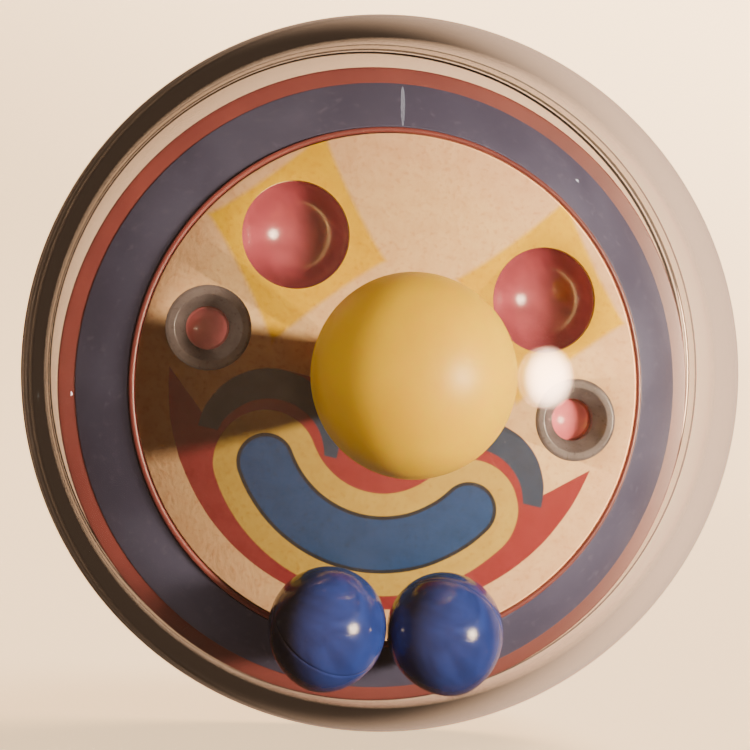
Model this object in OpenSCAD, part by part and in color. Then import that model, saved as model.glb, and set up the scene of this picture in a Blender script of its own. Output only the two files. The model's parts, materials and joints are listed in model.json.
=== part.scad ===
// Clear hollow juggling ball with a round clown-face insert and two loose balls that run round the face.
// Millimetres. The origin is the ball's centre, +Z is up, and the face looks towards -Y.
// Left and right are as seen from the front.
// The insert is drawn flat, with its axis along local +Z, and face_frame() stands it up inside the ball.

/* [Shell] */
// Outside diameter of the ball
ball_d = 65; // [62:1:73]
// Wall thickness of the clear half shells
wall = 2.0; // [1.8:0.1:2.4]
// Height of the lap joint between the half shells
lap_h = 1.8; // [1.4:0.1:2.4]
// Radial width of the rear shell's ledge, which the foot of the tray's rim is glued to
ledge_w = 3.3; // [3:0.1:3.6]

/* [Tray] */
// Turn of the insert about its axis, clockwise from the front
face_roll = 10; // [0:1:45]
// How far the insert sits below the ball's centre, within its play in the shell
insert_drop = 1.2; // [0:0.1:1.2]
// Gap from the tray's rim to the shell's inner wall
rim_gap = 1.5; // [1.5:0.1:1.8]
// Height of the card's face above the seam
face_h = 7.4; // [7.2:0.1:8]
// Gap from the shell's inner wall to the edge of the card
trough_w = 8.2; // [8.1:0.1:9]
// Wall thickness of the tray
tray_t = 1.2; // [1:0.1:1.4]
// Width of the red rim that shows outside the track ring
rim_w = 2; // [1.8:0.1:2.4]
// Height of the rim's top above the seam
rim_h = 3.6; // [3:0.1:3.6]
// Number of stiffening ribs under the tray
ribs = 8; // [4:1:12]

/* [Face] */
// Thickness of the printed card
card_t = 0.6; // [0.4:0.1:0.8]
// Thickness of the track ring
track_t = 0.5; // [0.4:0.1:0.8]
// Diameter of the nose ball
nose_d = 17.2; // [16:0.2:18]
// Height of the nose above the middle of the face
nose_rise = 1.2; // [0:0.1:1.6]
// Diameter of the mouth of an eye socket
eye_d = 9.4; // [8.8:0.1:9.6]
// Distance of an eye socket's middle from the edge of the card
eye_inset = 6.5; // [6.2:0.1:6.8]
// Angle of an eye socket from the top of the face
eye_angle = 46.5; // [44:0.5:49]
// Outside diameter of a cheek eyelet
cheek_d = 7.4; // [6.8:0.1:7.6]
// Distance of a cheek hole's middle from the edge of the card
cheek_inset = 5.4; // [5:0.1:5.8]
// Angle of a cheek hole from the top of the face
cheek_angle = 86; // [84:1:90]

/* [Loose balls] */
// Diameter of a loose ball
loose_d = 9.9; // [9.4:0.1:10]
// Clearance round a loose ball
loose_gap = 0.15; // [0.1:0.05:0.2]

/* [Hidden] */
$fn = 96;

// Overrun of a cutting shape past the surface that it cuts
over = 1;
// Fitting clearance between pieces that are assembled by hand
fit = 0.05;

// Shell
outer_r = ball_d / 2;
inner_r = outer_r - wall;
lap_r = inner_r + wall / 2;
rim_r = inner_r - rim_gap;
rim_foot = -tray_t / 2;
ledge_h = 0.8;
ledge_top = rim_foot - fit;

// Tray
card_r = inner_r - trough_w;
plate_top = face_h - card_t;
plate_bottom = plate_top - tray_t;
lip_w = 0.5;
lip_h = 0.15;
stage_r = card_r + fit + lip_w;
foot_r = rim_r - rim_w;
skirt_step = 0.2;
skirt_top = plate_top - skirt_step;

// Eye cups
eye_r = card_r - eye_inset;
eye_mouth = eye_d / 2;
eye_wall = 0.8;
eye_flange_t = 0.5;
eye_flange_w = 1.2;
eye_undercut = 0.3;
eye_bowl_r = eye_mouth + eye_undercut;
eye_outer_r = eye_bowl_r + eye_wall;
eye_rise = sqrt(eye_bowl_r * eye_bowl_r - eye_mouth * eye_mouth);
eye_waist = eye_rise + eye_flange_t;
eye_hole = sqrt(eye_outer_r * eye_outer_r - eye_waist * eye_waist) + fit;

// Cheeks
cheek_r = card_r - cheek_inset;
cheek_lip = cheek_d / 2;
cheek_lip_w = 0.4;
cheek_lip_t = 0.25;
cheek_tube = cheek_lip - cheek_lip_w;
cheek_throat = 1.9;
cheek_depth = 1.8;
button_t = 0.9;
button_dish_r = 3.2;
button_dish = 0.5;
boss_wall = 0.9;
boss_floor = 0.6;
cheek_bottom = face_h - cheek_depth;
button_bottom = cheek_bottom - fit - button_t;

// Nose and its screw
nose_r = nose_d / 2;
neck_r = 3.2;
neck_h = 1.8;
nose_z = face_h + fit + nose_r;
hub_r = 3.6;
hub_h = 1.6;
screw_r = 1.2;
screw_l = 9;
screw_head_r = 2.5;
screw_head_h = 1.6;
screw_dome_r = 3.75;
screw_slot_w = 0.7;
screw_slot_l = 3.2;
screw_slot_h = 0.9;
screw_seat = plate_bottom - hub_h;

// Ribs under the tray
rib_t = 1;
rib_h = 1.4;

// Loose balls: each lies on the card and against the shell's inner wall
loose_r = loose_d / 2;
loose_h = face_h + lip_h + loose_r + loose_gap;
loose_reach = inner_r - loose_r - loose_gap;
loose_path = sqrt(loose_reach * loose_reach - loose_h * loose_h);
loose_half_angle = asin((loose_r + loose_gap / 2) / loose_path);

// Stands the insert up in the ball, rolled clockwise from the front
module face_frame() {
    translate([0, 0, -insert_drop])
        rotate([0, face_roll, 0])
            rotate([90, 0, 0])
                children();
}

// The same without the roll and the drop, for the shell and for what gravity brings to its bottom
module upright_frame() {
    rotate([90, 0, 0])
        children();
}

// Places a child on the face at a radius and an angle from the top.
// side is -1 on the left and 1 on the right.
module on_face(radius, angle, side) {
    translate([side * radius * sin(angle), radius * cos(angle), 0])
        children();
}

// Places a child on the nose's axis
module on_nose() {
    translate([0, nose_rise, 0])
        children();
}

// Flat ring between two radii
module ring(inner, outer, bottom, height) {
    translate([0, 0, bottom])
        difference() {
            cylinder(r = outer, h = height);
            translate([0, 0, -over])
                cylinder(r = inner, h = height + 2 * over);
        }
}

// Half of the hollow ball on one side of the seam; side is 1 in front and -1 behind
module half_ball(side) {
    difference() {
        sphere(r = outer_r);
        sphere(r = inner_r);
        translate([0, 0, -side * (outer_r + over / 2)])
            cube(2 * outer_r + over, center = true);
        cube([2 * outer_r + over, 2 * outer_r + over, fit], center = true);
    }
}

// Ledge inside the rear shell that the tray's rim stands on
module ledge() {
    intersection() {
        ring(inner_r - ledge_w, inner_r + wall / 2, ledge_top - ledge_h, ledge_h);
        sphere(r = inner_r + wall / 2);
    }
}

module front_shell() {
    color([0.93, 0.93, 0.9, 0.3])
        upright_frame()
            difference() {
                half_ball(1);
                ring(lap_r, outer_r + over, -over, lap_h + over);
            }
}

module rear_shell() {
    color([0.93, 0.93, 0.9, 0.3])
        upright_frame()
            union() {
                half_ball(-1);
                intersection() {
                    ring(lap_r + fit, outer_r + over, -over, lap_h + over - fit);
                    difference() {
                        sphere(r = outer_r);
                        sphere(r = inner_r);
                    }
                }
                ledge();
            }
}

// Section of the tray from its axis out to its rim: plate, card lip, sloping skirt and upright rim
module tray_section() {
    polygon([
        [0, plate_bottom],
        [stage_r - tray_t, plate_bottom],
        [foot_r - tray_t / 2, rim_h - tray_t],
        [rim_r - tray_t, rim_h - tray_t],
        [rim_r - tray_t, rim_foot],
        [rim_r, rim_foot],
        [rim_r, rim_h],
        [foot_r, rim_h],
        [stage_r, skirt_top],
        [stage_r, face_h + lip_h],
        [card_r + fit, face_h + lip_h],
        [card_r + fit, plate_top],
        [0, plate_top]
    ]);
}

// One rib under the plate, from the hub out to the skirt
module rib() {
    intersection() {
        translate([0, -rib_t / 2, plate_bottom - rib_h])
            cube([stage_r, rib_t, rib_h + tray_t / 2]);
        cylinder(r = stage_r - tray_t / 2, h = plate_top);
    }
}

module tray() {
    color("firebrick")
        face_frame()
            difference() {
                union() {
                    rotate_extrude()
                        tray_section();
                    on_nose()
                        translate([0, 0, screw_seat])
                            cylinder(r = hub_r, h = hub_h + tray_t / 2);
                    for (i = [0 : ribs - 1])
                        rotate([0, 0, (i + 0.5) * 360 / ribs])
                            rib();
                    for (side = [-1, 1])
                        on_face(cheek_r, cheek_angle, side)
                            translate([0, 0, button_bottom - boss_floor])
                                cylinder(r = cheek_tube + boss_wall, h = plate_top - button_bottom);
                }
                for (side = [-1, 1]) {
                    on_face(eye_r, eye_angle, side)
                        eye_pocket();
                    on_face(cheek_r, cheek_angle, side)
                        translate([0, 0, button_bottom])
                            cylinder(r = cheek_tube + fit, h = face_h);
                }
                on_nose()
                    translate([0, 0, screw_seat - over])
                        cylinder(r = screw_r + fit, h = face_h);
            }
}

// Stepped hole in the tray for an eye cup: a through hole and a counterbore for the cup's flange
module eye_pocket() {
    cylinder(r = eye_hole, h = face_h);
    translate([0, 0, plate_top - eye_flange_t - fit])
        cylinder(r = eye_mouth + eye_flange_w + fit, h = face_h);
}

module track_ring() {
    color("slateblue")
        face_frame()
            rotate_extrude()
                polygon([
                    [foot_r + fit, rim_h + fit],
                    [stage_r + fit, skirt_top + fit],
                    [stage_r + fit, skirt_top + fit + track_t],
                    [foot_r + fit + track_t, rim_h + fit]
                ]);
}

module face_card() {
    color("bisque")
        face_frame()
            difference() {
                translate([0, 0, plate_top])
                    cylinder(r = card_r, h = card_t);
                for (side = [-1, 1]) {
                    on_face(eye_r, eye_angle, side)
                        translate([0, 0, plate_top - over])
                            cylinder(r = eye_mouth, h = card_t + 2 * over);
                    on_face(cheek_r, cheek_angle, side)
                        translate([0, 0, plate_top - over])
                            cylinder(r = cheek_tube + fit, h = card_t + 2 * over);
                }
                on_nose()
                    translate([0, 0, plate_top - over])
                        cylinder(r = screw_r + fit, h = card_t + 2 * over);
            }
}

// Hollow socket with a flange that the card traps in the tray
module eye_cup(side) {
    color("crimson")
        face_frame()
            on_face(eye_r, eye_angle, side)
                difference() {
                    union() {
                        translate([0, 0, plate_top - eye_flange_t])
                            cylinder(r = eye_mouth + eye_flange_w, h = eye_flange_t);
                        intersection() {
                            translate([0, 0, plate_top + eye_rise])
                                sphere(r = eye_outer_r);
                            cylinder(r = eye_outer_r, h = plate_top);
                        }
                    }
                    translate([0, 0, plate_top + eye_rise])
                        sphere(r = eye_bowl_r);
                }
}

module left_eye_cup() {
    eye_cup(-1);
}

module right_eye_cup() {
    eye_cup(1);
}

// Grey ring with a lip on the card and a throat that narrows inwards
module cheek_eyelet(side) {
    color("dimgray")
        face_frame()
            on_face(cheek_r, cheek_angle, side)
                rotate_extrude()
                    polygon([
                        [cheek_throat, cheek_bottom],
                        [cheek_tube, cheek_bottom],
                        [cheek_tube, face_h],
                        [cheek_lip, face_h],
                        [cheek_lip, face_h + cheek_lip_t / 2],
                        [cheek_lip - cheek_lip_t, face_h + cheek_lip_t],
                        [cheek_tube - cheek_lip_w, face_h + cheek_lip_t],
                        [cheek_throat, cheek_bottom + button_t]
                    ]);
}

module left_cheek_eyelet() {
    cheek_eyelet(-1);
}

module right_cheek_eyelet() {
    cheek_eyelet(1);
}

// Dished red disc that closes the bottom of a cheek hole
module cheek_button(side) {
    color("crimson")
        face_frame()
            on_face(cheek_r, cheek_angle, side)
                difference() {
                    translate([0, 0, button_bottom])
                        cylinder(r = cheek_tube, h = button_t);
                    translate([0, 0, button_bottom + button_t - button_dish + button_dish_r])
                        sphere(r = button_dish_r);
                }
}

module left_cheek_button() {
    cheek_button(-1);
}

module right_cheek_button() {
    cheek_button(1);
}

// Ball on a short neck that stands on the card, with a blind hole for the screw
module nose_ball() {
    color("gold")
        face_frame()
            on_nose()
                difference() {
                    union() {
                        translate([0, 0, nose_z])
                            sphere(r = nose_r);
                        translate([0, 0, face_h])
                            cylinder(r = neck_r, h = neck_h);
                    }
                    translate([0, 0, face_h - over])
                        cylinder(r = screw_r + fit, h = screw_seat + screw_l - face_h + 2 * over);
                }
}

module nose_screw() {
    color("silver")
        face_frame()
            on_nose()
                translate([0, 0, screw_seat])
                    difference() {
                        union() {
                            cylinder(r = screw_r, h = screw_l);
                            translate([0, 0, -screw_head_h / 2])
                                cylinder(r = screw_head_r, h = screw_head_h / 2);
                            intersection() {
                                translate([0, 0, screw_dome_r - screw_head_h])
                                    sphere(r = screw_dome_r);
                                translate([0, 0, -screw_head_h])
                                    cylinder(r = screw_head_r, h = screw_head_h);
                            }
                        }
                        for (turn = [0, 90])
                            rotate([0, 0, turn])
                                translate([-screw_slot_l / 2, -screw_slot_w / 2, -screw_head_h - over])
                                    cube([screw_slot_l, screw_slot_w, screw_slot_h + over]);
                    }
}

// Loose ball at the bottom of its run, beside the other one
module loose_ball(side) {
    color("royalblue")
        upright_frame()
            on_face(loose_path, 180 - loose_half_angle, side)
                translate([0, 0, loose_h])
                    sphere(r = loose_r);
}

module left_ball() {
    loose_ball(-1);
}

module right_ball() {
    loose_ball(1);
}

front_shell();
rear_shell();
tray();
track_ring();
face_card();
left_eye_cup();
right_eye_cup();
left_cheek_eyelet();
right_cheek_eyelet();
left_cheek_button();
right_cheek_button();
nose_ball();
nose_screw();
left_ball();
right_ball();
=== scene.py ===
import json
import math

import bmesh
import bpy
from mathutils import Matrix, Vector


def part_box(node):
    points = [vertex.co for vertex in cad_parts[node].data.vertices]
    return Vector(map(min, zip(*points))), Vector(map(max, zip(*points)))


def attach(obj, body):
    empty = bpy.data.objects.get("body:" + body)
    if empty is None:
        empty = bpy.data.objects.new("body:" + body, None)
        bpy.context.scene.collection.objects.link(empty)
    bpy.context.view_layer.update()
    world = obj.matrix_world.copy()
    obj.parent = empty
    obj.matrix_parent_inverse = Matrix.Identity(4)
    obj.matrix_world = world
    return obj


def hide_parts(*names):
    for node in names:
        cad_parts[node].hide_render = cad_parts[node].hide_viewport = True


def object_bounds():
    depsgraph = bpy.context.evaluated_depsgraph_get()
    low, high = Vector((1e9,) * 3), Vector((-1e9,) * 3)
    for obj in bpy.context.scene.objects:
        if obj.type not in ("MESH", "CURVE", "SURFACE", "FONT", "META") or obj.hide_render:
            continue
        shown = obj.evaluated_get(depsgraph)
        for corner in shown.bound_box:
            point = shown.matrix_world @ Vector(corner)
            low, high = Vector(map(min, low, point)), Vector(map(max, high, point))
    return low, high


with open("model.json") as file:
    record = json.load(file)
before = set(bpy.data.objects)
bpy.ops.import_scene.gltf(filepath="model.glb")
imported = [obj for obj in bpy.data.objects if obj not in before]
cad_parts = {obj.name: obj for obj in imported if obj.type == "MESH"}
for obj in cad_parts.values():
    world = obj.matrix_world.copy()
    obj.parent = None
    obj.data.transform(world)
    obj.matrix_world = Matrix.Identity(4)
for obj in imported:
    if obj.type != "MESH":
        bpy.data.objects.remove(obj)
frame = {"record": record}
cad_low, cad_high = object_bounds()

# Clear juggling ball with a clown-face insert. Every piece is drawn in local millimetres with its own
# axis along Z, then stood where its CAD node is. The frame is in metres: -Y is the front, +Z is up.

MM = 0.001
LOCAL = "local_mm"
AXIS_SNAP = 1e-6
SHARP_EDGE = math.radians(32)
FINE_STEPS = 192
STEPS = 128

# Dimensions of the CAD that its boxes don't give, in millimetres
FIT = 0.05
WALL = 2.0
LAP_H = 1.8
LEDGE_W = 3.3
LEDGE_H = 0.8
TRAY_T = 1.2
RIM_W = 2.0
LIP_W = 0.5
SKIRT_STEP = 0.2
TRACK_T = 0.5
EYE_MOUTH_R = 4.7
EYE_WALL = 0.8
EYE_FLANGE_T = 0.5
EYELET_LIP_W = 0.4
EYELET_LIP_T = 0.25
EYELET_THROAT_R = 1.9
BUTTON_DISH_R = 3.2
BUTTON_DISH = 0.5
BOSS_WALL = 0.9
BOSS_FLOOR = 0.6
NECK_R = 3.2
HUB_R = 3.6
SCREW_R = 1.2
SCREW_HEAD_H = 1.6
SCREW_SLOT_L = 3.2
SCREW_SLOT_W = 0.7
SCREW_SLOT_H = 0.9
RIBS = 8
RIB_T = 1.0
RIB_H = 1.4

# Radii of the moulded edges, in millimetres
SHELL_EDGE = 0.12
TRAY_EDGE = 0.25
TRACK_EDGE = 0.12
CARD_EDGE = 0.08
CUP_EDGE = 0.15
EYELET_EDGE = 0.18
BUTTON_EDGE = 0.1
NOSE_EDGE = 0.3

# Steps along the arcs of the outlines
SHELL_ARC = 64
CUP_BACK_ARC = 36
CUP_BOWL_ARC = 40
DISH_ARC = 20
NOSE_ARC = 48
SCREW_HEAD_ARC = 10
LOOSE_BALL_ARC = 40


# ---------------------------------------------------------------- places, read from the frame

def box_mm(node):
    """Lowest and highest corner of a CAD node, in millimetres."""
    low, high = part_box(node)
    return low / MM, high / MM


def middle_mm(node):
    low, high = box_mm(node)
    return (low + high) / 2


def width_mm(node):
    low, high = box_mm(node)
    return high.x - low.x


def depths(node):
    """How far behind and in front of the seam a node reaches, in millimetres: (back, front)."""
    low, high = box_mm(node)
    return -high.y, -low.y


BALL_R = (cad_high.z - cad_low.z) / 2 / MM
INNER_R = BALL_R - WALL
LAP_R = INNER_R + WALL / 2

CARD_BACK, CARD_FRONT = depths("face_card")
CARD_R = width_mm("face_card") / 2
INSERT_DROP = -middle_mm("face_card").z
EYE_LINE = middle_mm("right_eye_cup") - middle_mm("left_eye_cup")
FACE_ROLL = math.atan2(-EYE_LINE.z, EYE_LINE.x)

UPRIGHT = Matrix.Rotation(math.radians(90), 4, "X")
FACE = Matrix.Translation((0, 0, -INSERT_DROP)) @ Matrix.Rotation(FACE_ROLL, 4, "Y") @ UPRIGHT


def on_face(node):
    """Where a node's axis stands on the face, in the insert's own frame."""
    spot = FACE.inverted() @ middle_mm(node)
    return Vector((spot.x, spot.y, 0))


# ---------------------------------------------------------------- mesh helpers

def arc(centre, radius, start, end, count):
    """Outline points on a circle centred on the axis; angles in degrees from local +Z."""
    points = []
    for i in range(count + 1):
        angle = math.radians(start + (end - start) * i / count)
        points.append((radius * math.sin(angle), centre + radius * math.cos(angle)))
    return points


def rounded(outline, radius, closed=False, turn_limit=25, cuts=4):
    """The outline with its corners off the axis rounded; gentle turns are left alone."""
    count = len(outline)
    result = []
    for i, corner in enumerate(outline):
        here = Vector(corner)
        at_end = not closed and i in (0, count - 1)
        if at_end or here.x < AXIS_SNAP:
            result.append(corner)
            continue
        back = Vector(outline[i - 1]) - here
        ahead = Vector(outline[(i + 1) % count]) - here
        turn = math.pi - back.angle(ahead, math.pi)
        if turn < math.radians(turn_limit):
            result.append(corner)
            continue
        reach = min(radius * math.tan(turn / 2), 0.45 * back.length, 0.45 * ahead.length)
        first = here + back.normalized() * reach
        last = here + ahead.normalized() * reach
        for step in range(cuts + 1):
            t = step / cuts
            point = first * (1 - t) ** 2 + here * 2 * t * (1 - t) + last * t ** 2
            result.append((point.x, point.y))
    return result


def join_rings(bm, one, two):
    """Faces between two rings of points; a ring of one point is a pole."""
    if len(one) == 1 and len(two) == 1:
        return
    count = max(len(one), len(two))
    for i in range(count):
        j = (i + 1) % count
        if len(one) == 1:
            bm.faces.new((one[0], two[i], two[j]))
        elif len(two) == 1:
            bm.faces.new((one[i], two[0], one[j]))
        else:
            bm.faces.new((one[i], two[i], two[j], one[j]))


def lathe(name, outline, closed=False, steps=STEPS):
    """Solid of revolution about local Z from (radius, height) points, from axis to axis or closed."""
    bm = bmesh.new()
    rings = []
    for radius, height in outline:
        ring = []
        for i in range(steps if radius > AXIS_SNAP else 1):
            angle = math.tau * i / steps
            spot = (radius * math.cos(angle), radius * math.sin(angle), height)
            ring.append(bm.verts.new(spot if radius > AXIS_SNAP else (0, 0, height)))
        rings.append(ring)
    for one, two in zip(rings, rings[1:]):
        join_rings(bm, one, two)
    if closed:
        join_rings(bm, rings[-1], rings[0])
    bmesh.ops.recalc_face_normals(bm, faces=bm.faces)
    return new_object(name, bm)


def block(name, size, centre):
    """Cuboid for cutting and joining."""
    bm = bmesh.new()
    bmesh.ops.create_cube(bm, size=1)
    bmesh.ops.scale(bm, vec=size, verts=bm.verts)
    bmesh.ops.translate(bm, vec=centre, verts=bm.verts)
    return new_object(name, bm)


def rod(name, radius, bottom, top, steps=STEPS):
    """Plain round bar for cutting and joining."""
    return lathe(name, [(0, bottom), (radius, bottom), (radius, top), (0, top)], steps=steps)


def new_object(name, bm):
    mesh = bpy.data.meshes.new(name)
    bm.to_mesh(mesh)
    bm.free()
    obj = bpy.data.objects.new(name, mesh)
    bpy.context.scene.collection.objects.link(obj)
    return obj


def shift(obj, offset):
    obj.data.transform(Matrix.Translation(offset))
    return obj


def turn(obj, degrees, axis="Z"):
    obj.data.transform(Matrix.Rotation(math.radians(degrees), 4, axis))
    return obj


def bake_modifiers(obj):
    """Replaces the object's mesh by its modified one."""
    graph = bpy.context.evaluated_depsgraph_get()
    mesh = bpy.data.meshes.new_from_object(obj.evaluated_get(graph))
    obj.modifiers.clear()
    spare = obj.data
    obj.data = mesh
    bpy.data.meshes.remove(spare)


def combine(obj, other, operation):
    """Joins obj with another solid, or cuts it by the other, which is used up."""
    modifier = obj.modifiers.new("combine", "BOOLEAN")
    modifier.operation = operation
    modifier.solver = "EXACT"
    modifier.object = other
    bake_modifiers(obj)
    bpy.data.objects.remove(other)


def shade(mesh):
    """Smooth shading with sharp edges kept."""
    bm = bmesh.new()
    bm.from_mesh(mesh)
    for face in bm.faces:
        face.smooth = True
    for edge in bm.edges:
        edge.smooth = len(edge.link_faces) == 2 and edge.calc_face_angle(0) < SHARP_EDGE
    bm.to_mesh(mesh)
    bm.free()


def remember_local(mesh):
    """Keeps each point's place in the piece's own frame, for the materials."""
    attribute = mesh.attributes.new(LOCAL, "FLOAT_VECTOR", "POINT")
    for item, vertex in zip(attribute.data, mesh.vertices):
        item.vector = vertex.co


RECORD = frame["record"]
BODY_OF = {node: body for body, nodes in RECORD["behaviour"]["bodies"].items() for node in nodes}


def settle(obj, node, place, material):
    """Stands a finished piece where its CAD node is, on the same body."""
    remember_local(obj.data)
    shade(obj.data)
    obj.data.transform(Matrix.Scale(MM, 4) @ place)
    obj.data.materials.clear()
    obj.data.materials.append(material)
    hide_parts(node)
    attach(obj, BODY_OF[node])
    return obj


# ---------------------------------------------------------------- node helpers

def linear(code):
    """A web colour as the linear values that shaders take."""
    values = []
    for i in (1, 3, 5):
        part = int(code[i:i + 2], 16) / 255
        values.append(part / 12.92 if part <= 0.04045 else ((part + 0.055) / 1.055) ** 2.4)
    return (*values, 1)


class Number:
    """A value that varies over a surface. Arithmetic on it adds Math nodes."""

    def __init__(self, nodes, socket):
        self.nodes = nodes
        self.socket = socket

    def then(self, operation, *others, clamp=False):
        node = self.nodes.add("ShaderNodeMath", operation=operation, use_clamp=clamp)
        for socket, value in zip(node.inputs, (self, *others)):
            self.nodes.feed(socket, value)
        return Number(self.nodes, node.outputs[0])

    def __add__(self, other):
        return self.then("ADD", other)

    def __sub__(self, other):
        return self.then("SUBTRACT", other)

    def __mul__(self, other):
        return self.then("MULTIPLY", other)

    def __truediv__(self, other):
        return self.then("DIVIDE", other)

    def __neg__(self):
        return self * -1

    def size(self):
        return self.then("ABSOLUTE")

    def power(self, other):
        return self.then("POWER", other)

    def least(self, other):
        return self.then("MINIMUM", other)

    def most(self, other):
        return self.then("MAXIMUM", other)

    def below(self, other):
        """1 where this is less than the other, else 0."""
        return self.then("LESS_THAN", other)

    def span(self, low, high, to_low=0.0, to_high=1.0):
        """This value's range low..high carried to another range, and held at its ends."""
        inputs = {
            "Value": self, "From Min": low, "From Max": high, "To Min": to_low, "To Max": to_high,
        }
        node = self.nodes.add("ShaderNodeMapRange", inputs, interpolation_type="SMOOTHSTEP")
        return Number(self.nodes, node.outputs[0])

    def inside(self, blur=0.05):
        """1 where a signed distance in millimetres is negative, with a soft edge."""
        return self.span(blur, -blur)


class Nodes:
    """One material, and short ways to add and wire its nodes."""

    def __init__(self, name):
        self.material = bpy.data.materials.new(name)
        self.material.use_nodes = True
        self.tree = self.material.node_tree
        self.tree.nodes.clear()
        self.place = self.add("ShaderNodeAttribute", attribute_name=LOCAL).outputs["Vector"]

    def add(self, kind, inputs=(), **settings):
        node = self.tree.nodes.new(kind)
        for key, value in settings.items():
            setattr(node, key, value)
        for key, value in dict(inputs).items():
            self.feed(node.inputs[key], value)
        return node

    def feed(self, socket, value):
        if isinstance(value, Number):
            value = value.socket
        if isinstance(value, bpy.types.NodeSocket):
            self.tree.links.new(value, socket)
        else:
            socket.default_value = value

    def axes(self):
        """The local x, y and z, in millimetres."""
        node = self.add("ShaderNodeSeparateXYZ", {"Vector": self.place})
        return [Number(self, socket) for socket in node.outputs]

    def spot(self, seed, stretch=(1, 1, 1)):
        """The local place, moved by a seed so that no two patterns line up."""
        inputs = {"Vector": self.place, "Location": (seed * 7.3, seed * 3.1, seed), "Scale": stretch}
        return self.add("ShaderNodeMapping", inputs).outputs[0]

    def noise(self, scale, seed, detail=2.0, stretch=(1, 1, 1), warp=0.0):
        """Noise from 0 to 1; scale is in waves per millimetre."""
        spot = self.spot(seed, stretch)
        inputs = {"Vector": spot, "Scale": scale, "Detail": detail, "Distortion": warp}
        return Number(self, self.add("ShaderNodeTexNoise", inputs).outputs["Fac"])

    def scratches(self, scale, seed, width=0.02):
        """Thin random lines, 1 on a line: the edges of warped cells."""
        bent = self.add("ShaderNodeTexNoise", {"Vector": self.spot(seed), "Scale": scale / 2})
        inputs = {"Vector": bent.outputs["Color"], "Scale": 4.0}
        node = self.add("ShaderNodeTexVoronoi", inputs, feature="DISTANCE_TO_EDGE")
        return Number(self, node.outputs["Distance"]).span(width, 0)

    def specks(self, scale, seed, size=0.06):
        """Small round dust specks, 1 on a speck."""
        inputs = {"Vector": self.spot(seed), "Scale": scale}
        node = self.add("ShaderNodeTexVoronoi", inputs)
        return Number(self, node.outputs["Distance"]).span(size * 1.6, size)

    def mix(self, factor, one, two):
        """From colour one to colour two."""
        node = self.add("ShaderNodeMix", data_type="RGBA")
        for index, value in ((0, factor), (6, one), (7, two)):
            self.feed(node.inputs[index], value)
        return node.outputs[2]

    def tinted(self, colour, code):
        """A colour multiplied by a web colour, as a thin stain on it."""
        node = self.add("ShaderNodeMix", {0: 1.0}, data_type="RGBA", blend_type="MULTIPLY")
        self.feed(node.inputs[6], colour)
        self.feed(node.inputs[7], linear(code))
        return node.outputs[2]

    def bump(self, height, distance, strength=1.0):
        """Normal from a height of 0 to 1; distance is that height in millimetres."""
        inputs = {"Height": height, "Distance": distance * MM, "Strength": strength}
        return self.add("ShaderNodeBump", inputs).outputs[0]

    def surface(self, base, roughness, normal=None, **settings):
        """Principled surface; settings are its other sockets, with _ for a space."""
        inputs = {"Base Color": base, "Roughness": roughness}
        if normal is not None:
            inputs["Normal"] = normal
        for key, value in settings.items():
            inputs[key.replace("_", " ")] = value
        return self.add("ShaderNodeBsdfPrincipled", inputs).outputs[0]

    def finish(self, shader):
        output = self.add("ShaderNodeOutputMaterial")
        self.tree.links.new(shader, output.inputs["Surface"])
        return self.material


# ---------------------------------------------------------------- materials

def clear_plastic():
    """Polished clear styrene with handling marks, which lets the lamps through to the insert."""
    n = Nodes("clear_plastic")
    cloud = n.noise(0.05, 3, detail=1)
    base = n.mix(cloud, linear("#fffdf8"), linear("#f7f1e6"))
    smear = n.noise(0.16, 8, detail=3).span(0.4, 0.75)
    normal = n.bump(cloud, 0.05, 0.3)
    plastic = n.surface(
        base, 0.01, normal, Transmission_Weight=1.0, IOR=1.5,
        Coat_Weight=smear * 0.12, Coat_Roughness=0.25,
    )
    through = n.add("ShaderNodeBsdfTransparent", {"Color": linear("#f6f2ea")}).outputs[0]
    shadow = n.add("ShaderNodeLightPath").outputs["Is Shadow Ray"]
    blend = n.add("ShaderNodeMixShader", {0: shadow, 1: plastic, 2: through})
    return n.finish(blend.outputs[0])


def moulded_red():
    """Satin injection-moulded red of the tray."""
    n = Nodes("moulded_red")
    flow = n.noise(0.08, 2, detail=3, warp=0.8)
    base = n.mix(flow.span(0.3, 0.7), linear("#662d2e"), linear("#753634"))
    grain = n.noise(2.2, 5, detail=3)
    rough = (flow * 0.12 + grain * 0.1) + 0.3
    normal = n.bump(grain, 0.006, 0.7)
    return n.finish(n.surface(base, rough, normal, Coat_Weight=0.15, Coat_Roughness=0.2))


def track_band():
    """Blue-violet band in faint patches, with small light flecks and a fine bumpy grain."""
    n = Nodes("track_band")
    patch = n.noise(0.1, 9, detail=3, warp=0.5)
    fleck = n.noise(1.4, 7, detail=4)
    tone = n.mix(patch.span(0.3, 0.7), linear("#46455e"), linear("#555570"))
    base = n.mix(fleck.span(0.55, 0.8) * 0.35, tone, linear("#75728b"))
    rough = patch * 0.15 + 0.34
    normal = n.bump(fleck, 0.01, 0.6)
    return n.finish(n.surface(base, rough, normal, Specular_IOR_Level=0.3))


def crimson_gloss(name, dark, light):
    """Polished crimson plastic, faintly swirled between two shades."""
    n = Nodes(name)
    swirl = n.noise(0.2, 6, detail=3, warp=1.2)
    base = n.mix(swirl.span(0.3, 0.7), linear(dark), linear(light))
    fine = n.noise(1.6, 3, detail=3)
    rough = swirl * 0.08 + fine * 0.06 + 0.1
    normal = n.bump(fine, 0.006, 0.6)
    return n.finish(n.surface(base, rough, normal, Coat_Weight=0.5, Coat_Roughness=0.08))


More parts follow.
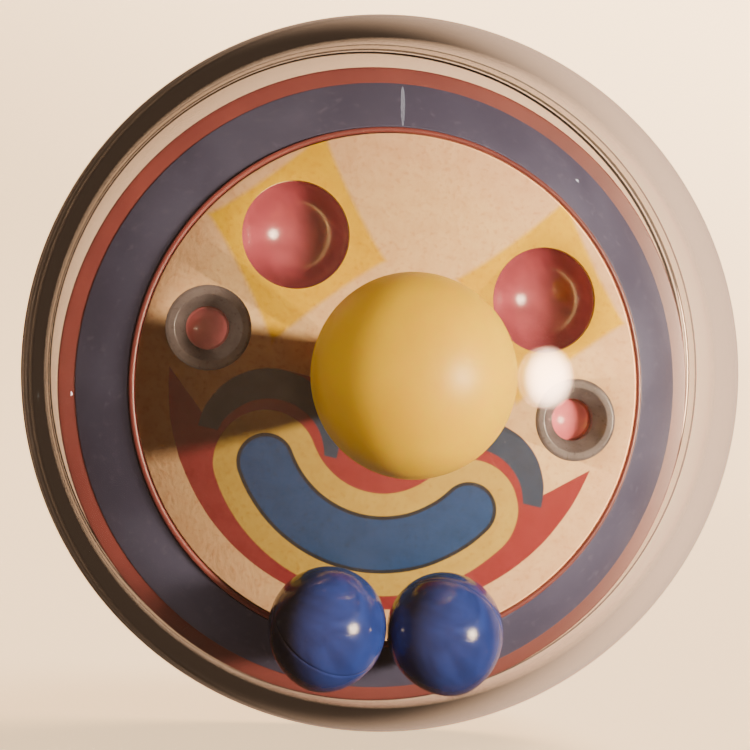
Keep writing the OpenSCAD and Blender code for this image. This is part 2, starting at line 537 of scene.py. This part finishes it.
def grey_plastic():
    """Dark grey moulded eyelets."""
    n = Nodes("grey_plastic")
    cloud = n.noise(0.5, 2, detail=3)
    base = n.mix(cloud.span(0.3, 0.7), linear("#574f51"), linear("#6e6567"))
    grain = n.noise(3.5, 4, detail=3)
    rough = grain * 0.15 + 0.22
    normal = n.bump(grain, 0.008, 0.6)
    return n.finish(n.surface(base, rough, normal, Coat_Weight=0.2, Coat_Roughness=0.15))


def yellow_plastic():
    """Satin yellow nose with a fine moulded skin."""
    n = Nodes("yellow_plastic")
    cloud = n.noise(0.12, 5, detail=3, warp=0.6)
    base = n.mix(cloud.span(0.3, 0.7), linear("#dcaf00"), linear("#e6bb03"))
    base = n.mix(n.specks(0.5, 3, 0.035) * 0.25, base, linear("#a87b1c"))
    skin = n.noise(1.3, 8, detail=3)
    rough = cloud * 0.1 + skin * 0.08 + 0.34
    normal = n.bump(skin, 0.014, 0.7)
    return n.finish(n.surface(
        base, rough, normal, Specular_IOR_Level=0.35, Subsurface_Weight=0.3,
        Subsurface_Scale=0.004,
    ))


def blue_plastic():
    """Glossy deep blue of the loose balls, swirled and lightly scuffed by rolling."""
    n = Nodes("blue_plastic")
    swirl = n.noise(0.22, 4, detail=4, warp=1.6)
    base = n.mix(swirl.span(0.25, 0.75), linear("#1b2d6d"), linear("#2a408f"))
    scuff = n.scratches(0.5, 9, 0.03)
    rough = swirl * 0.06 + scuff * 0.1 + 0.12
    normal = n.bump(n.noise(1.1, 2, detail=3) + scuff * -0.4, 0.008, 0.6)
    return n.finish(n.surface(base, rough, normal, Coat_Weight=0.4, Coat_Roughness=0.06))


def plated_steel():
    """Zinc-plated screw with turning marks round its axis."""
    n = Nodes("plated_steel")
    x, y, _ = n.axes()
    rings = ((x * x + y * y).power(0.5) * 30).then("SINE")
    cloud = n.noise(1.2, 3, detail=4)
    base = n.mix(cloud, linear("#a8a9a6"), linear("#c9c6bd"))
    rough = cloud * 0.15 + rings * 0.03 + 0.24
    normal = n.bump(rings * 0.5 + cloud, 0.006, 0.6)
    return n.finish(n.surface(base, rough, normal, Metallic=1.0))


SKIN = linear("#d9b177")
SKIN_PINK = linear("#ce9e78")
MUZZLE = linear("#812f2f")
LIPS = linear("#b39240")
MOUTH = linear("#233e64")
OUTLINE = linear("#26282c")
SHADE_ARC = linear("#323c4b")
EYE_PATCH = linear("#d2a204")
CARD_CORE = linear("#b99f74")
INK_DEPTH = 0.06


class Face:
    """Signed distances in millimetres to the parts of the printed clown face, left-right symmetric."""

    MUZZLE_R = 19.5
    CHEEK = (9.5, -7.0, 6.2)
    SHADE = (9.2, -8.3, 4.9)
    SHADE_FOOT = -7.2
    BRIDGE = -0.8
    WEDGE_APEX = (15.9, -5.8)
    WEDGE_SLOPE = 0.86
    MOUTH_CENTRE = -2.75
    MOUTH_R = 11.15
    MOUTH_ANGLE = math.radians(56.5)
    MOUTH_HALF = 2.2
    MOUTH_LINE = 0.32
    LIPS_HALF = 4.5
    PATCH_CENTRE = (11.24, 10.67)
    PATCH_HALF = (8.0, 9.5)
    PATCH_POWER = 0.92

    def __init__(self, n):
        x, self.v, _ = n.axes()
        wobble = (n.noise(0.5, 21) - 0.5) * 0.12
        self.u = x.size() + wobble
        self.from_axis = self.distance(0, 0)

    def distance(self, u, v):
        return ((self.u - u).power(2) + (self.v - v).power(2)).power(0.5)

    def disc(self, u, v, radius):
        return self.distance(u, v) - radius

    def muzzle(self):
        apex_u, apex_v = self.WEDGE_APEX
        wedge = self.v - apex_v - (self.u - apex_u) * self.WEDGE_SLOPE
        bridge = (self.u - self.CHEEK[0]).most(self.v - self.BRIDGE)
        body = self.disc(*self.CHEEK).least(wedge).least(bridge)
        return body.most(self.from_axis - self.MUZZLE_R)

    def shade(self):
        """Dark crescent over each corner of the mouth."""
        crescent = self.disc(*self.CHEEK).most(-self.disc(*self.SHADE))
        return crescent.most(-self.v + self.SHADE_FOOT)

    def mouth(self):
        """Distance from the mouth's centre line: an arc with round ends."""
        from_centre = self.distance(0, self.MOUTH_CENTRE)
        along = (from_centre - self.MOUTH_R).size()
        end_u = self.MOUTH_R * math.sin(self.MOUTH_ANGLE)
        end_v = self.MOUTH_CENTRE - self.MOUTH_R * math.cos(self.MOUTH_ANGLE)
        cap = self.distance(end_u, end_v)
        below = self.v - self.MOUTH_CENTRE
        on_arc = (below + from_centre * math.cos(self.MOUTH_ANGLE)).below(0)
        return cap + on_arc * (along - cap)

    def patch(self):
        """Diamond behind each eye."""
        across = ((self.u - self.PATCH_CENTRE[0]) / self.PATCH_HALF[0]).size()
        along = ((self.v - self.PATCH_CENTRE[1]) / self.PATCH_HALF[1]).size()
        total = across.power(self.PATCH_POWER) + along.power(self.PATCH_POWER)
        return (total - 1) * min(self.PATCH_HALF)


def printed_card():
    """Varnished card with the clown face, its inks laid one over another."""
    n = Nodes("printed_card")
    face = Face(n)
    cloud = n.noise(0.12, 5, detail=3)
    edge = face.from_axis.span(CARD_R * 0.7, CARD_R)
    ink = n.mix(edge * 0.5 + cloud * 0.3, SKIN, SKIN_PINK)
    mouth = face.mouth()
    layers = (
        (face.patch(), EYE_PATCH, 0.4),
        (face.muzzle(), MUZZLE, 0.06),
        (face.shade(), SHADE_ARC, 0.08),
        (mouth - face.LIPS_HALF, LIPS, 0.08),
        (mouth - face.MOUTH_HALF - face.MOUTH_LINE, OUTLINE, 0.06),
        (mouth - face.MOUTH_HALF, MOUTH, 0.06),
    )
    for distance, colour, blur in layers:
        ink = n.mix(distance.inside(blur), ink, colour)
    fibre = n.noise(2.4, 11, detail=4)
    mottle = n.noise(0.7, 14, detail=4).span(0.35, 0.7)
    ink = n.mix(mottle * 0.5, ink, n.tinted(ink, "#efe4dc"))
    ink = n.mix(fibre.span(0.5, 0.75) * 0.6, ink, n.tinted(ink, "#e6d2c6"))
    _, _, height = n.axes()
    core = height.below(CARD_FRONT - INK_DEPTH)
    ink = n.mix(core, ink, CARD_CORE)
    rough = fibre * 0.12 + mottle * 0.1 + 0.28
    normal = n.bump(fibre, 0.01, 0.7)
    return n.finish(n.surface(ink, rough, normal, Coat_Weight=0.25, Coat_Roughness=0.12))


def studio_paper_painted_glow():
    """Pale cream paper of the floor and backdrop, with a painted glow: it emits light itself, more
    strongly up and to the right.
    """
    cloud_waves = 6.0
    fibre_waves = 900.0
    # Strength of the paper's painted glow at its dim end and at its bright end
    dim = 1.6
    bright = 4.8
    n = Nodes("studio_paper_painted_glow")
    spot = n.add("ShaderNodeTexCoord").outputs["Object"]
    node = n.add("ShaderNodeTexNoise", {"Vector": spot, "Scale": cloud_waves, "Detail": 3.0})
    cloud = Number(n, node.outputs["Fac"])
    base = n.mix(cloud, linear("#f1e6da"), linear("#ebdfd2"))
    node = n.add("ShaderNodeTexNoise", {"Vector": spot, "Scale": fibre_waves, "Detail": 2.0})
    fibre = Number(n, node.outputs["Fac"])
    # Painted light: the paper glows by its own emission, from dim at the lower left to bright at the
    # upper right, though it is no lamp.
    node = n.add("ShaderNodeVectorMath", {0: spot, 1: (1, 0, 2)}, operation="DOT_PRODUCT")
    glow = Number(n, node.outputs["Value"]).span(0.0, 1.0, dim, bright)
    return n.finish(n.surface(
        base, fibre * 0.1 + 0.75, n.bump(fibre, 0.05, 0.4),
        Emission_Color=linear("#ffd8a6"), Emission_Strength=glow,
    ))


# ---------------------------------------------------------------- the ball's pieces

def wall_radius(radius, height):
    """Radius of a sphere's section at a height."""
    return math.sqrt(radius ** 2 - height ** 2)


def tilt_at(radius, height):
    """Angle in degrees from local +Z of a sphere's point at a height."""
    return math.degrees(math.acos(height / radius))


def front_shell(material):
    seam = FIT / 2
    outline = arc(0, BALL_R, 0, tilt_at(BALL_R, LAP_H), SHELL_ARC)
    outline += [(LAP_R, LAP_H), (LAP_R, seam)]
    outline += arc(0, INNER_R, tilt_at(INNER_R, seam), 0, SHELL_ARC)
    shell = lathe("front_shell_moulding", rounded(outline, SHELL_EDGE), steps=FINE_STEPS)
    return settle(shell, "front_shell", UPRIGHT, material)


def rear_shell(material):
    seam = -FIT / 2
    ledge_top = depths("tray")[0] - FIT
    ledge_foot = ledge_top - LEDGE_H
    ledge_r = INNER_R - LEDGE_W
    gate_r = 1.3
    gate_depth = 0.2
    gate_top = -wall_radius(BALL_R, gate_r)
    outline = [(0, gate_top + gate_depth), (gate_r * 0.9, gate_top + gate_depth)]
    outline += arc(0, BALL_R, tilt_at(BALL_R, gate_top), tilt_at(BALL_R, LAP_H - FIT), SHELL_ARC)
    outline += [(LAP_R + FIT, LAP_H - FIT), (LAP_R + FIT, seam)]
    outline += [(wall_radius(INNER_R, seam), seam), (wall_radius(INNER_R, ledge_top), ledge_top)]
    outline += [(ledge_r, ledge_top), (ledge_r, ledge_foot)]
    outline += arc(0, INNER_R, tilt_at(INNER_R, ledge_foot), 180, SHELL_ARC)
    shell = lathe("rear_shell_moulding", rounded(outline, SHELL_EDGE), steps=FINE_STEPS)
    return settle(shell, "rear_shell", UPRIGHT, material)


def eye_bowl():
    """Middle height and inner radius of a socket's bowl, from its box and its mouth."""
    bottom = depths("left_eye_cup")[0]
    drop = CARD_BACK - bottom - EYE_WALL
    radius = (EYE_MOUTH_R ** 2 + drop ** 2) / (2 * drop)
    return bottom + EYE_WALL + radius, radius


def tray(material):
    rim_r = width_mm("tray") / 2
    rim_foot, lip_top = depths("tray")
    rim_top = depths("track_ring")[0] - FIT
    rim_inside = rim_r - TRAY_T
    plate_foot = CARD_BACK - TRAY_T
    stage_r = CARD_R + FIT + LIP_W
    foot_r = rim_r - RIM_W
    outline = [
        (0, plate_foot), (stage_r - TRAY_T, plate_foot), (foot_r - TRAY_T / 2, rim_top - TRAY_T),
        (rim_inside, rim_top - TRAY_T), (rim_inside, rim_foot), (rim_r, rim_foot), (rim_r, rim_top),
        (foot_r, rim_top), (stage_r, CARD_BACK - SKIRT_STEP), (stage_r, lip_top),
        (CARD_R + FIT, lip_top), (CARD_R + FIT, CARD_BACK), (0, CARD_BACK),
    ]
    body = lathe("tray_moulding", rounded(outline, TRAY_EDGE), steps=FINE_STEPS)
    for part in tray_fittings(plate_foot, stage_r):
        combine(body, part, "UNION")
    for cutter in tray_holes():
        combine(body, cutter, "DIFFERENCE")
    return settle(body, "tray", FACE, material)


def tray_fittings(plate_foot, stage_r):
    """Ribs, screw hub and cheek bosses under the tray's plate."""
    grip = TRAY_T / 2
    parts = []
    for i in range(RIBS):
        size = (stage_r - grip, RIB_T, RIB_H + grip)
        centre = (size[0] / 2, 0, plate_foot - RIB_H + size[2] / 2)
        rib = block("rib", size, centre)
        parts.append(turn(rib, (i + 0.5) * 360 / RIBS))
    seat = depths("nose_screw")[0] + SCREW_HEAD_H
    parts.append(shift(rod("hub", HUB_R, seat, plate_foot + grip), on_face("nose_screw")))
    for side in ("left", "right"):
        button = side + "_cheek_button"
        foot = depths(button)[0] - BOSS_FLOOR
        radius = width_mm(button) / 2 + BOSS_WALL
        parts.append(shift(rod("boss", radius, foot, plate_foot + grip), on_face(button)))
    return parts


def tray_holes():
    """Cutters for the sockets, the cheek buttons and the screw."""
    centre, bowl_r = eye_bowl()
    cutters = []
    for side in ("left", "right"):
        cup = side + "_eye_cup"
        button = side + "_cheek_button"
        waist = wall_radius(bowl_r + EYE_WALL, centre - CARD_BACK + EYE_FLANGE_T) + FIT
        flange = width_mm(cup) / 2 + FIT
        cutters.append(shift(rod("cut", waist, 0, CARD_FRONT), on_face(cup)))
        step = rod("cut", flange, CARD_BACK - EYE_FLANGE_T - FIT, CARD_FRONT)
        cutters.append(shift(step, on_face(cup)))
        bore = rod("cut", width_mm(button) / 2 + FIT, depths(button)[0], CARD_FRONT)
        cutters.append(shift(bore, on_face(button)))
    cutters.append(shift(rod("cut", SCREW_R + FIT, 0, CARD_FRONT), on_face("nose_screw")))
    return cutters


def track_ring(material):
    back, front = depths("track_ring")
    foot_r = width_mm("track_ring") / 2 - TRACK_T
    top_r = CARD_R + LIP_W + 2 * FIT
    outline = [(foot_r, back), (top_r, front - TRACK_T), (top_r, front), (foot_r + TRACK_T, back)]
    ring = lathe("track_ring_band", rounded(outline, TRACK_EDGE, closed=True), True, FINE_STEPS)
    return settle(ring, "track_ring", FACE, material)


def face_card(material):
    outline = [(0, CARD_BACK), (CARD_R, CARD_BACK), (CARD_R, CARD_FRONT), (0, CARD_FRONT)]
    card = lathe("face_card_print", rounded(outline, CARD_EDGE), steps=FINE_STEPS)
    holes = [("nose_screw", SCREW_R + FIT)]
    for side in ("left", "right"):
        eyelet = side + "_cheek_eyelet"
        holes.append((side + "_eye_cup", EYE_MOUTH_R))
        holes.append((eyelet, width_mm(eyelet) / 2 - EYELET_LIP_W + FIT))
    for node, radius in holes:
        cutter = rod("cut", radius, CARD_BACK - 1, CARD_FRONT + 1)
        combine(card, shift(cutter, on_face(node)), "DIFFERENCE")
    return settle(card, "face_card", FACE, material)


def eye_cup(side, material):
    node = side + "_eye_cup"
    bottom, top = depths(node)
    centre, bowl_r = eye_bowl()
    outer_r = bowl_r + EYE_WALL
    flange_r = width_mm(node) / 2
    shoulder = top - EYE_FLANGE_T
    outline = arc(centre, outer_r, 180, tilt_at(outer_r, shoulder - centre), CUP_BACK_ARC)
    outline += [(flange_r, shoulder), (flange_r, top)]
    outline += arc(centre, bowl_r, tilt_at(bowl_r, top - centre), 180, CUP_BOWL_ARC)
    cup = lathe(node + "_socket", rounded(outline, CUP_EDGE))
    return settle(cup, node, FACE @ Matrix.Translation(on_face(node)), material)


def cheek_eyelet(side, material):
    node = side + "_cheek_eyelet"
    back, front = depths(node)
    lip_r = width_mm(node) / 2
    tube_r = lip_r - EYELET_LIP_W
    button_t = depths(side + "_cheek_button")[1] - depths(side + "_cheek_button")[0]
    outline = [
        (EYELET_THROAT_R, back), (tube_r, back), (tube_r, CARD_FRONT), (lip_r, CARD_FRONT),
        (lip_r, CARD_FRONT + EYELET_LIP_T / 2), (lip_r - EYELET_LIP_T, front),
        (tube_r - EYELET_LIP_W, front), (EYELET_THROAT_R, back + button_t),
    ]
    ring = lathe(node + "_ring", rounded(outline, EYELET_EDGE, closed=True), closed=True)
    return settle(ring, node, FACE @ Matrix.Translation(on_face(node)), material)


def cheek_button(side, material):
    node = side + "_cheek_button"
    back, front = depths(node)
    radius = width_mm(node) / 2
    centre = front - BUTTON_DISH + BUTTON_DISH_R
    outline = [(0, back), (radius, back), (radius, front)]
    outline += arc(centre, BUTTON_DISH_R, tilt_at(BUTTON_DISH_R, front - centre), 180, DISH_ARC)
    disc = lathe(node + "_disc", rounded(outline, BUTTON_EDGE))
    return settle(disc, node, FACE @ Matrix.Translation(on_face(node)), material)


def nose_ball(material):
    """Ball with a fine parting ridge round its middle, on a short neck with a blind screw hole."""
    back, front = depths("nose_ball")
    low, high = box_mm("nose_ball")
    radius = (high.z - low.z) / 2
    centre = front - radius
    ridge = 0.06
    ridge_half = 1.2
    bore = SCREW_R + FIT
    bore_top = depths("nose_screw")[1] + FIT
    neck_meets = math.degrees(math.asin(NECK_R / radius))
    outline = [(0, bore_top), (bore, bore_top), (bore, back), (NECK_R, back)]
    outline += arc(centre, radius - ridge, 180 - neck_meets, 90 + ridge_half, NOSE_ARC)
    outline += arc(centre, radius, 90 + ridge_half / 3, 90 - ridge_half / 3, 2)
    outline += arc(centre, radius - ridge, 90 - ridge_half, 0, NOSE_ARC)
    ball = lathe("nose_ball_moulding", rounded(outline, NOSE_EDGE), steps=FINE_STEPS)
    return settle(ball, "nose_ball", FACE @ Matrix.Translation(on_face("nose_ball")), material)


def nose_screw(material):
    """Pan-head screw with a cross recess."""
    back, tip = depths("nose_screw")
    head_r = width_mm("nose_screw") / 2
    seat = back + SCREW_HEAD_H
    waist = seat - SCREW_HEAD_H / 2
    dome_r = (head_r ** 2 + (SCREW_HEAD_H / 2) ** 2) / SCREW_HEAD_H
    dome_edge = 180 - math.degrees(math.asin(head_r / dome_r))
    outline = arc(back + dome_r, dome_r, 180, dome_edge, SCREW_HEAD_ARC)
    outline = [(r, z) for r, z in outline if z < waist]
    outline += [(head_r, waist), (head_r, seat), (SCREW_R, seat)]
    pitch = 0.5
    root_r = SCREW_R * 0.82
    tip_r = SCREW_R * 0.8
    round_steps = 64
    z = seat + pitch
    while z < tip - pitch * 2:
        outline += [(SCREW_R, z), (root_r, z + pitch / 2)]
        z += pitch
    outline += [(tip_r, tip - pitch), (0, tip)]
    screw = lathe("nose_screw_pan_head", outline, steps=round_steps)
    for degrees in (0, 90):
        size = (SCREW_SLOT_L, SCREW_SLOT_W, SCREW_SLOT_H * 2)
        combine(screw, turn(block("slot", size, (0, 0, back)), degrees), "DIFFERENCE")
    return settle(screw, "nose_screw", FACE @ Matrix.Translation(on_face("nose_screw")), material)


def loose_ball(side, material):
    """Loose ball with a fine parting groove, tilted as it has rolled."""
    node = side + "_ball"
    radius = width_mm(node) / 2
    groove = 0.035
    groove_half = 0.9
    outline = arc(0, radius, 0, 90 - groove_half, LOOSE_BALL_ARC)
    outline += [(radius - groove, 0)]
    outline += arc(0, radius, 90 + groove_half, 180, LOOSE_BALL_ARC)
    ball = lathe(node + "_bead", outline)
    tilt = {"left": (34, 20), "right": (-58, 41)}[side]
    turn(turn(ball, tilt[0], "X"), tilt[1], "Y")
    return settle(ball, node, Matrix.Translation(middle_mm(node)), material)


# ---------------------------------------------------------------- studio

# Azimuth and elevation of the key lamp and of its reflection in the shell
KEY_SIDE = (42.7, 1.9)
WARM_WHITE = "#fff2e2"


def toward(azimuth, elevation, distance):
    """A point round the ball. Azimuth 0 is in front, and it grows to the right; degrees and metres."""
    a, e = math.radians(azimuth), math.radians(elevation)
    return Vector((math.sin(a) * math.cos(e), -math.cos(a) * math.cos(e), math.sin(e))) * distance


def aim(obj, target, roll=0.0):
    """Turns a camera or lamp to look at a point, then rolls it by degrees."""
    look = (target - obj.location).to_track_quat("-Z", "Y").to_matrix().to_4x4()
    spin = Matrix.Rotation(math.radians(roll), 4, "Z")
    obj.matrix_world = Matrix.Translation(obj.location) @ look @ spin


def area_lamp(name, spot, size, power, tint="#ffffff", roll=0.0):
    """Soft oval lamp aimed at the ball; size is (width, height) in metres. It isn't seen directly."""
    data = bpy.data.lights.new(name, "AREA")
    data.shape = "ELLIPSE"
    data.size, data.size_y = size
    data.energy = power
    data.color = linear(tint)[:3]
    lamp = bpy.data.objects.new(name, data)
    bpy.context.scene.collection.objects.link(lamp)
    lamp.location = spot
    lamp.visible_transmission = False
    lamp.visible_camera = False
    aim(lamp, Vector((0, 0, 0)), roll)
    return lamp


def studio():
    """Pale paper floor that sweeps up into a backdrop on all sides."""
    floor = -BALL_R * MM
    flat_r = 0.55
    flat_steps = 12
    sweep_r = 0.45
    sweep_steps = 32
    rim = 1.3
    outline = [(flat_r * i / flat_steps, floor) for i in range(flat_steps)]
    for i in range(sweep_steps + 1):
        angle = math.pi / 2 * i / sweep_steps
        outline.append((flat_r + sweep_r * math.sin(angle), floor + sweep_r * (1 - math.cos(angle))))
    outline.append((flat_r + sweep_r, rim))
    backdrop = lathe("studio_backdrop", outline, steps=96)
    for face in backdrop.data.polygons:
        face.use_smooth = True
    backdrop.data.flip_normals()
    backdrop.data.materials.append(studio_paper_painted_glow())
    backdrop.visible_diffuse = False
    backdrop.visible_glossy = False
    backdrop.visible_transmission = False
    return backdrop


def surround():
    """Dim warm room, brighter behind the ball on its right. Rays that cross the clear shell see it paler,
    as the backdrop is, and the shell mirrors a bright round window in it."""
    behind_right = (0.7, 0.7, 0.05)
    room_reach = 0.6
    room_dim = 0.06
    room_bright = 1.7
    front_left = (-0.17, -0.98, 0)
    front_reach = -0.3
    shell_edge = 0.7
    shell_through = 1.7
    window_reach = math.cos(math.radians(9))
    window = 190
    world = bpy.data.worlds.new("soft_surround")
    world.use_nodes = True
    tree = world.node_tree

    def math_node(operation, *values):
        node = tree.nodes.new("ShaderNodeMath")
        node.operation = operation
        for socket, value in zip(node.inputs, values):
            if isinstance(value, bpy.types.NodeSocket):
                tree.links.new(value, socket)
            else:
                socket.default_value = value
        return node.outputs[0]

    where = tree.nodes.new("ShaderNodeTexCoord")

    def glow(direction, start, dim, bright):
        """Strength that grows from dim to bright between a cosine off a direction and the direction."""
        side = tree.nodes.new("ShaderNodeVectorMath")
        side.operation = "DOT_PRODUCT"
        side.inputs[1].default_value = Vector(direction).normalized()
        tree.links.new(where.outputs["Generated"], side.inputs[0])
        ramp = tree.nodes.new("ShaderNodeMapRange")
        ramp.interpolation_type = "SMOOTHSTEP"
        for name, value in (("From Min", start), ("From Max", 1), ("To Min", dim), ("To Max", bright)):
            ramp.inputs[name].default_value = value
        tree.links.new(side.outputs["Value"], ramp.inputs["Value"])
        return ramp.outputs[0]

    room = glow(behind_right, room_reach, room_dim, room_bright)
    front = glow(front_left, front_reach, 0, shell_edge)
    gleam = glow(toward(*KEY_SIDE, 1), window_reach, 0, window)
    path = tree.nodes.new("ShaderNodeLightPath")
    clear = path.outputs["Is Transmission Ray"]
    bounces = math_node("ADD", path.outputs["Diffuse Depth"], path.outputs["Glossy Depth"])
    straight = math_node("MULTIPLY", math_node("LESS_THAN", bounces, 0.5), clear)
    undiffused = math_node("LESS_THAN", path.outputs["Diffuse Depth"], 0.5)
    edge = math_node("MULTIPLY", math_node("MULTIPLY", undiffused, clear), front)
    glossy = math_node("MULTIPLY", undiffused, path.outputs["Is Glossy Ray"])
    mirrored = math_node("MULTIPLY", glossy, gleam)
    seen = math_node("ADD", math_node("ADD", room, edge), mirrored)
    strength = math_node("MULTIPLY_ADD", straight, shell_through, seen)
    sky = tree.nodes["Background"]
    sky.inputs["Color"].default_value = linear("#ffd2b0")
    tree.links.new(strength, sky.inputs["Strength"])
    bpy.context.scene.world = world


def group(name, objects):
    result = bpy.data.collections.new(name)
    for obj in objects:
        result.objects.link(obj)
    return result


def fade_edge(lamp):
    """Makes a lamp's brightness fall off smoothly from its middle to its edge."""
    lamp.data.use_nodes = True
    tree = lamp.data.node_tree
    where = tree.nodes.new("ShaderNodeNewGeometry")
    reach = tree.nodes.new("ShaderNodeVectorMath")
    reach.operation = "DISTANCE"
    reach.inputs[1].default_value = (0.5, 0.5, 0)
    fade = tree.nodes.new("ShaderNodeMapRange")
    fade.interpolation_type = "SMOOTHSTEP"
    for name, value in (("From Min", 0.5), ("From Max", 0.0), ("To Min", 0.0), ("To Max", 1.0)):
        fade.inputs[name].default_value = value
    tree.links.new(where.outputs["Parametric"], reach.inputs[0])
    tree.links.new(reach.outputs["Value"], fade.inputs["Value"])
    tree.links.new(fade.outputs[0], tree.nodes["Emission"].inputs["Strength"])


def light_only(lamp, objects):
    lamp.light_linking.receiver_collection = group("lit_by_" + lamp.name, objects)


def lights(backdrop, pieces):
    """A soft key lamp from the right lights the insert, a raking one draws the nose's long shadow on the
    card, a weak fill lifts the shadows, a rear one shows the tray's back, faint small ones give the
    glints, and a wash lights the backdrop only."""
    card = [pieces["face_card"]]
    others = [piece for node, piece in pieces.items() if node != "face_card"]
    inside = [piece for piece in others if piece not in (pieces["front_shell"], pieces["rear_shell"])]
    filled = ("tray", "track_ring", "nose_ball")
    raised = [piece for node, piece in pieces.items() if "cheek" in node or node in filled]
    key = area_lamp("key", toward(*KEY_SIDE, 0.5), (0.2, 0.17), 36, WARM_WHITE)
    fade_edge(key)
    light_only(key, inside)
    rake = area_lamp("rake", toward(82.6, 6.5, 0.5), (0.03, 0.03), 54, WARM_WHITE)
    rake.visible_glossy = False
    light_only(rake, card)
    rake.light_linking.blocker_collection = group("shade_rake", [pieces["nose_ball"]])
    fill = area_lamp("fill", toward(-25, 10, 0.5), (0.3, 0.3), 1.8, WARM_WHITE)
    fill.visible_glossy = False
    light_only(fill, raised)
    rear = area_lamp("rear", toward(205, 30, 0.6), (0.4, 0.4), 6, "#ffe9d2")
    rear.visible_glossy = False
    light_only(rear, others)
    area_lamp("strip", toward(9.9, 86.9, 0.5), (0.008, 0.15), 0.012, roll=-17)
    area_lamp("spark_right", toward(80.9, 48.3, 0.5), (0.007, 0.007), 0.003)
    area_lamp("spark_left", toward(-111.7, -7.6, 0.2), (0.003, 0.003), 0.0005)
    wash = area_lamp("wash", Vector((0.8, 0.6, 1.0)), (1.2, 1.2), 100, "#ffd6a6")
    light_only(wash, [backdrop])


def camera():
    """Camera at the photograph's angle, close to the ball, which nearly fills the frame."""
    distance = 0.170
    fill_of_frame = 0.957
    roll = 4.0
    aim_right = -0.0004
    aim_up = -0.0002
    data = bpy.data.cameras.new("camera")
    half_angle = math.asin(BALL_R * MM / distance)
    data.lens = data.sensor_width / 2 / (math.tan(half_angle) / fill_of_frame)
    data.clip_start = 0.01
    obj = bpy.data.objects.new("camera", data)
    bpy.context.scene.collection.objects.link(obj)
    obj.location = toward(-9.5, 0, distance)
    aim(obj, Vector((aim_right, 0, aim_up)), roll)
    bpy.context.scene.camera = obj


def build():
    """All the pieces, by the CAD node that each stands in for."""
    clear = clear_plastic()
    socket_red = crimson_gloss("socket_red", "#823946", "#964755")
    button_red = crimson_gloss("button_red", "#d56773", "#e67b85")
    grey = grey_plastic()
    blue = blue_plastic()
    pieces = {
        "front_shell": front_shell(clear),
        "rear_shell": rear_shell(clear),
        "tray": tray(moulded_red()),
        "track_ring": track_ring(track_band()),
        "face_card": face_card(printed_card()),
        "nose_ball": nose_ball(yellow_plastic()),
        "nose_screw": nose_screw(plated_steel()),
    }
    for side in ("left", "right"):
        pieces[side + "_eye_cup"] = eye_cup(side, socket_red)
        pieces[side + "_cheek_eyelet"] = cheek_eyelet(side, grey)
        pieces[side + "_cheek_button"] = cheek_button(side, button_red)
        pieces[side + "_ball"] = loose_ball(side, blue)
    return pieces


lights(studio(), build())
surround()
camera()
